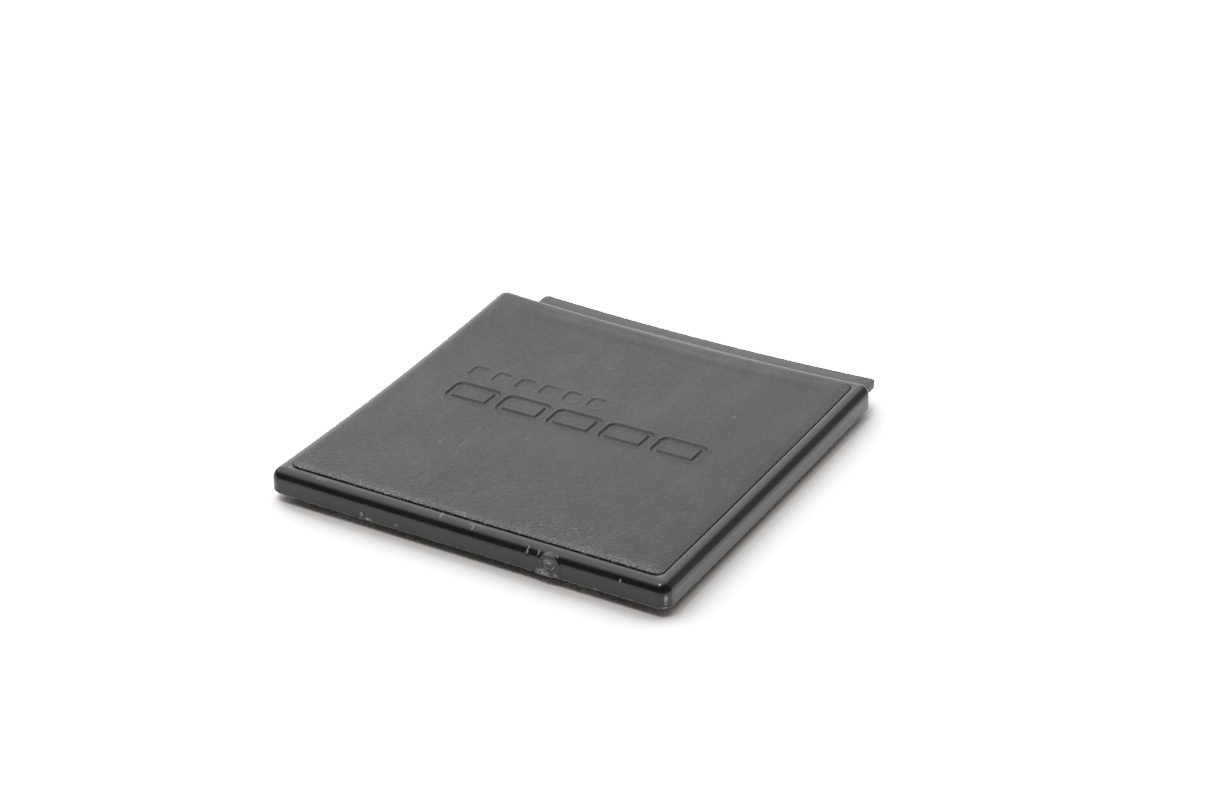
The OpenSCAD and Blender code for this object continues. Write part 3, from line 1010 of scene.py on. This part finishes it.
for side in ("left", "right"):
    paint_node("snap_claw_" + side, acetal)
    soften("snap_claw_" + side, 0.1)
    paint_node("claw_pin_" + side, steel)
    soften("claw_pin_" + side, 0.08)
    spring = build_spring("claw_spring_" + side, "bow_spring_" + side)
    add_piece(spring, steel, "claw_spring_" + side)
    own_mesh(spring)


# ---------------------------------------------------------------- floor, light and camera


# How bright the floor looks to the object, how bright it looks to the camera in deep shade and in the
# open, and how bright the backdrop looks to the camera.
FLOOR_GLOW = 1.2
FLOOR_SHADE = (0.95, 0.9, 0.86, 1)
FLOOR_OPEN = (22.0, 22.0, 22.0, 1)
BACKGROUND = 20.0

# The floor's shade: the direction it is worked out in, how far what casts it may be, the share of open
# sky at which the floor looks fully shaded and fully open, and how steeply it falls between them.
SHADE_TILT = Vector((-0.45, 0.38, 0.82)).normalized()
SHADE_REACH = 0.2
SHADE_SKY = (0.35, 0.84)
SHADE_POWER = 4.3
SHADE_SAMPLES = 24

# The floor's half side, and how far it lies below the resting plane, in metres.
FLOOR_HALF = 3.0
FLOOR_DROP = 0.00002


def build_floor():
    """A plain pale floor. In the open it is far brighter to the camera than to the object, as an
    overexposed table is, and it falls off steeply where the object shades it."""
    mesh = bpy.data.meshes.new("floor")
    corners = [(x * FLOOR_HALF, y * FLOOR_HALF, 0) for x, y in ((-1, -1), (1, -1), (1, 1), (-1, 1))]
    mesh.from_pydata(corners, [], [(0, 1, 2, 3)])
    floor = bpy.data.objects.new("floor", mesh)
    floor.location.z = -FLOOR_DROP
    bpy.context.scene.collection.objects.link(floor)
    material = bpy.data.materials.new("floor_white")
    material.use_nodes = True
    tree = material.node_tree
    tree.nodes.clear()
    open_sky = tree.nodes.new("ShaderNodeAmbientOcclusion")
    open_sky.samples = SHADE_SAMPLES
    open_sky.inputs["Distance"].default_value = SHADE_REACH
    towards_light = tree.nodes.new("ShaderNodeCombineXYZ")
    for axis, part in zip("XYZ", SHADE_TILT):
        towards_light.inputs[axis].default_value = part
    tree.links.new(towards_light.outputs[0], open_sky.inputs["Normal"])
    clear = tree.nodes.new("ShaderNodeMapRange")
    clear.inputs["From Min"].default_value = SHADE_SKY[0]
    clear.inputs["From Max"].default_value = SHADE_SKY[1]
    tree.links.new(open_sky.outputs["AO"], clear.inputs["Value"])
    steep = tree.nodes.new("ShaderNodeMath")
    steep.operation = "POWER"
    steep.inputs[1].default_value = SHADE_POWER
    tree.links.new(clear.outputs["Result"], steep.inputs[0])
    tone = tree.nodes.new("ShaderNodeMix")
    tone.data_type = "RGBA"
    tone.inputs["A"].default_value = FLOOR_SHADE
    tone.inputs["B"].default_value = FLOOR_OPEN
    tree.links.new(steep.outputs[0], tone.inputs["Factor"])
    seen = tree.nodes.new("ShaderNodeBsdfDiffuse")
    tree.links.new(tone.outputs["Result"], seen.inputs["Color"])
    real = tree.nodes.new("ShaderNodeBsdfDiffuse")
    real.inputs["Color"].default_value = (FLOOR_GLOW, FLOOR_GLOW, FLOOR_GLOW, 1)
    path = tree.nodes.new("ShaderNodeLightPath")
    mix = tree.nodes.new("ShaderNodeMixShader")
    output = tree.nodes.new("ShaderNodeOutputMaterial")
    tree.links.new(path.outputs["Is Camera Ray"], mix.inputs[0])
    tree.links.new(real.outputs[0], mix.inputs[1])
    tree.links.new(seen.outputs[0], mix.inputs[2])
    tree.links.new(mix.outputs[0], output.inputs["Surface"])
    mesh.materials.append(material)


# The large soft light overhead, two dimmer ones behind, low at the left and higher at the right, and the
# little that the room gives. The angles are where a light's edge starts and where it is fully bright.
KEY_AXIS = Vector((-0.42, 0.33, 0.85)).normalized()
KEY_LIGHT = 2.62
KEY_EDGE_DEG = (52.0, 42.0)
SIDE_AXIS = Vector((-0.5, 0.86, 0.05)).normalized()
SIDE_LIGHT = 2.3
SIDE_EDGE_DEG = (25.0, 8.0)
FILL_AXIS = Vector((0.45, 0.8, 0.4)).normalized()
FILL_LIGHT = 0.42
FILL_EDGE_DEG = (50.0, 20.0)
ROOM_LIGHT = 0.2


def sky_patch(tree, axis, edge_deg, strength):
    """A soft-edged round patch of light on the sky, as a value socket."""
    coordinate = tree.nodes.new("ShaderNodeTexCoord")
    along = tree.nodes.new("ShaderNodeVectorMath")
    along.operation = "DOT_PRODUCT"
    tree.links.new(coordinate.outputs["Generated"], along.inputs[0])
    along.inputs[1].default_value = axis
    edge = tree.nodes.new("ShaderNodeMapRange")
    edge.interpolation_type = "SMOOTHSTEP"
    edge.inputs["From Min"].default_value = math.cos(math.radians(edge_deg[0]))
    edge.inputs["From Max"].default_value = math.cos(math.radians(edge_deg[1]))
    edge.inputs["To Max"].default_value = strength
    tree.links.new(along.outputs["Value"], edge.inputs["Value"])
    return edge.outputs["Result"]


def build_world():
    """A dim room with soft lights overhead and behind. To the camera itself the backdrop is plain white."""
    world = bpy.data.worlds.new("studio")
    bpy.context.scene.world = world
    world.use_nodes = True
    tree = world.node_tree
    tree.nodes.clear()
    patches = [
        sky_patch(tree, KEY_AXIS, KEY_EDGE_DEG, 0.5 * KEY_LIGHT),
        sky_patch(tree, KEY_AXIS, (KEY_EDGE_DEG[0], 0.0), 0.5 * KEY_LIGHT),
        sky_patch(tree, SIDE_AXIS, SIDE_EDGE_DEG, SIDE_LIGHT),
        sky_patch(tree, FILL_AXIS, FILL_EDGE_DEG, FILL_LIGHT),
    ]
    strength = None
    for patch in patches:
        add = tree.nodes.new("ShaderNodeMath")
        add.operation = "ADD"
        tree.links.new(patch, add.inputs[0])
        add.inputs[1].default_value = ROOM_LIGHT
        if strength is not None:
            tree.links.new(strength, add.inputs[1])
        strength = add.outputs[0]
    room = tree.nodes.new("ShaderNodeBackground")
    tree.links.new(strength, room.inputs["Strength"])
    seen = tree.nodes.new("ShaderNodeBackground")
    seen.inputs["Strength"].default_value = BACKGROUND
    path = tree.nodes.new("ShaderNodeLightPath")
    mix = tree.nodes.new("ShaderNodeMixShader")
    output = tree.nodes.new("ShaderNodeOutputWorld")
    tree.links.new(path.outputs["Is Camera Ray"], mix.inputs[0])
    tree.links.new(room.outputs[0], mix.inputs[1])
    tree.links.new(seen.outputs[0], mix.inputs[2])
    tree.links.new(mix.outputs[0], output.inputs["Surface"])


# A small lamp high above the front of the cover: its place, the side of its square in metres, and its power.
LAMP_PLACE = Vector((-0.12, -0.25, 0.95))
LAMP_SIZE = 0.08
LAMP_POWER = 3.0


def add_lamp():
    """A small square lamp that points at the origin."""
    light = bpy.data.lights.new("lamp", "AREA")
    light.shape = "SQUARE"
    light.size = LAMP_SIZE
    light.energy = LAMP_POWER
    lamp = bpy.data.objects.new("lamp", light)
    lamp.location = LAMP_PLACE
    lamp.rotation_euler = (-LAMP_PLACE).to_track_quat("-Z", "Y").to_euler()
    lamp.visible_camera = False
    bpy.context.scene.collection.objects.link(lamp)


# The camera: its directions in degrees, its distance from the target on the plane of the rim's top,
# that target's x and y, both in metres, and its lens.
CAMERA_AZIMUTH = 28.95
CAMERA_ELEVATION = 29.27
CAMERA_ROLL = 0.26
CAMERA_DISTANCE = 0.4991
CAMERA_TARGET = (0.00073, 0.00811)
CAMERA_LENS = 92.43


def build_camera():
    """The scene's camera, level with the horizon but for its small roll."""
    azimuth, elevation, roll = (math.radians(a) for a in (CAMERA_AZIMUTH, CAMERA_ELEVATION, CAMERA_ROLL))
    back = Vector((
        math.sin(azimuth) * math.cos(elevation),
        -math.cos(azimuth) * math.cos(elevation),
        math.sin(elevation),
    ))
    level = Vector((math.cos(azimuth), math.sin(azimuth), 0))
    upright = back.cross(level)
    right = level * math.cos(roll) + upright * math.sin(roll)
    up = back.cross(right)
    data = bpy.data.cameras.new("camera")
    data.sensor_width = 36.0
    data.lens = CAMERA_LENS
    data.clip_start = 0.01
    camera = bpy.data.objects.new("camera", data)
    place = Vector((*CAMERA_TARGET, RIM_TOP * MM)) + back * CAMERA_DISTANCE
    turn = Matrix((right, up, back)).transposed().to_4x4()
    camera.matrix_world = Matrix.Translation(place) @ turn
    bpy.context.scene.collection.objects.link(camera)
    bpy.context.scene.camera = camera


build_floor()
build_world()
add_lamp()
build_camera()
